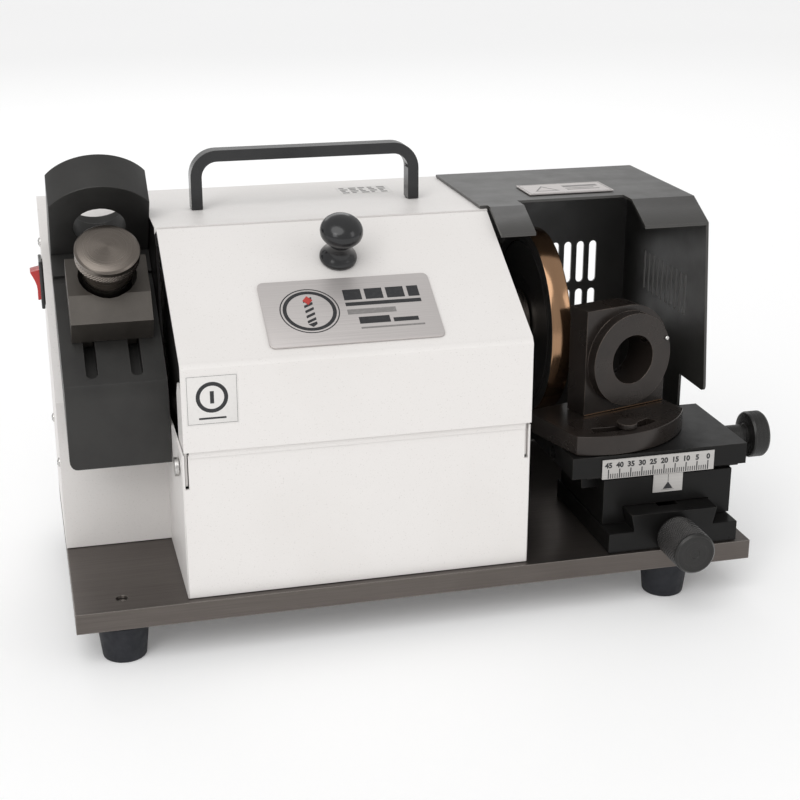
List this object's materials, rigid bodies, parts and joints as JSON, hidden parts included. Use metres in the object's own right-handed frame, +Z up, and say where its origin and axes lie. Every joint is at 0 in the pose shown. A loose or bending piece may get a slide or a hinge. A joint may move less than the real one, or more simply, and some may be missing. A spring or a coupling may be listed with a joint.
{
  "type": "drill bit sharpener",
  "caption": "Bench grinder for drill bits: white cabinet with hinged lid and carry handle, hooded grinding wheel, cross slide with swivelling chuck ring, and sloping setting fixture.",
  "frame": {"origin": "middle of the bounding box on the surface the rubber feet stand on", "axes": "+X along the front from the setting fixture to the cross slide, +Y from the front to the back, +Z up"},
  "size_m": [0.327, 0.173, 0.1973],
  "materials": {
    "brushed_steel": "dark brushed steel",
    "rubber": "matte moulded rubber",
    "bright_steel": "bright ground steel",
    "white_powder_coat": "fine powder coat, satin",
    "black_plastic": "gloss black plastic",
    "black_anodised": "satin black anodised",
    "black_oxide": "black oxide, fine milled",
    "turned_steel": "turned and oxidised steel",
    "red_plastic": "gloss red plastic",
    "cast_aluminium": "cast aluminium",
    "bronze_bond": "bonded bronze-coloured abrasive rim, ground",
    "dark_sheet": "dark painted sheet, satin",
    "brown_oxide": "brown-black oxide, fine milled"
  },
  "bodies": {
    "base": {"base_plate": "brushed_steel", "foot_front_left": "rubber", "foot_screw_front_left": "bright_steel", "foot_front_right": "rubber", "foot_screw_front_right": "bright_steel", "foot_rear_left": "rubber", "foot_screw_rear_left": "bright_steel", "foot_rear_right": "rubber", "foot_screw_rear_right": "bright_steel", "cabinet_shell": "white_powder_coat", "rear_panel": "white_powder_coat", "power_inlet": "black_plastic", "side_plate_left": "black_anodised", "side_plate_right": "black_anodised", "lid_pivot_left": "bright_steel", "lid_pivot_right": "bright_steel", "carry_handle": "black_plastic", "handle_screw_left": "bright_steel", "handle_screw_right": "bright_steel", "setting_bed": "black_oxide", "setting_arch": "black_oxide", "switch_bezel": "black_plastic", "motor_housing": "cast_aluminium", "motor_cap_left": "cast_aluminium", "motor_cap_right": "cast_aluminium", "bearing_left": "bright_steel", "bearing_right": "bright_steel", "motor_cradle": "black_anodised", "run_capacitor": "black_plastic", "hood": "dark_sheet", "hood_plate": "bright_steel", "slide_base": "black_anodised", "collet_tray": "black_anodised", "collet_1": "bright_steel", "collet_2": "bright_steel", "collet_3": "bright_steel", "collet_chuck": "turned_steel"},
    "lid": {"lid": "white_powder_coat", "lid_knob": "black_plastic", "name_plate": "bright_steel"},
    "saddle": {"saddle": "black_anodised", "pointer_plate": "bright_steel"},
    "table": {"cross_table": "black_anodised", "ruler": "bright_steel", "swivel_pivot_screw": "bright_steel", "swivel_clamp_screw": "black_oxide"},
    "swivel": {"swivel_plate": "brown_oxide", "ring_block": "brown_oxide"},
    "x_drive": {"x_knob": "black_anodised", "x_screw": "bright_steel"},
    "y_drive": {"y_knob": "black_anodised", "y_screw": "bright_steel"},
    "spindle": {"rotor_shaft": "bright_steel", "wheel_flange": "turned_steel", "wheel_core": "black_oxide", "wheel_rim": "bronze_bond", "wheel_nut": "bright_steel"},
    "rocker": {"switch_rocker": "red_plastic"},
    "stop": {"stop_block": "turned_steel"},
    "stop_screw": {"stop_knob": "turned_steel"}
  },
  "joints": [
    {"name": "lid_hinge", "type": "hinge", "parent": "base", "child": "lid", "pos_m": [-0.03654, -0.0505, 0.0812], "axis": [1, 0, 0], "range_deg": [0, 60]},
    {"name": "y_slide", "type": "slide", "parent": "base", "child": "saddle", "axis": [0, 1, 0], "range_m": [-0.009, 0.003]},
    {"name": "x_slide", "type": "slide", "parent": "saddle", "child": "table", "axis": [1, 0, 0], "range_m": [-0.012, 0.012]},
    {"name": "swivel_hinge", "type": "hinge", "parent": "table", "child": "swivel", "pos_m": [0.07996, -0.0045, 0.0732], "axis": [0, 0, 1], "range_deg": [-8, 12]},
    {"name": "x_screw_turn", "type": "hinge", "parent": "table", "child": "x_drive", "pos_m": [0.14846, -0.0275, 0.062], "axis": [1, 0, 0], "range_deg": [-2160, 2160]},
    {"name": "y_screw_turn", "type": "hinge", "parent": "base", "child": "y_drive", "pos_m": [0.10546, -0.0685, 0.0327], "axis": [0, 1, 0], "range_deg": [-1620, 540]},
    {"name": "spindle_turn", "type": "hinge", "parent": "base", "child": "spindle", "pos_m": [0.03246, 0.034, 0.1071], "axis": [1, 0, 0], "continuous": true},
    {"name": "rocker_tilt", "type": "hinge", "parent": "base", "child": "rocker", "pos_m": [-0.15754, 0.0565, 0.1349], "axis": [0, 1, 0], "range_deg": [0, 24]},
    {"name": "stop_slide", "type": "slide", "parent": "base", "child": "stop", "axis": [0, 0.809, 0.5878], "range_m": [-0.015, 0.008]},
    {"name": "stop_screw_turn", "type": "hinge", "parent": "stop", "child": "stop_screw", "pos_m": [-0.13189, 0.0045, 0.14979], "axis": [0, -0.5878, 0.809], "range_deg": [-180, 180]}
  ],
  "couplings": [
    {"joint": "x_screw_turn", "follows": "x_slide", "rad_per_m": 3141.6},
    {"joint": "y_screw_turn", "follows": "y_slide", "rad_per_m": 3141.6}
  ]
}
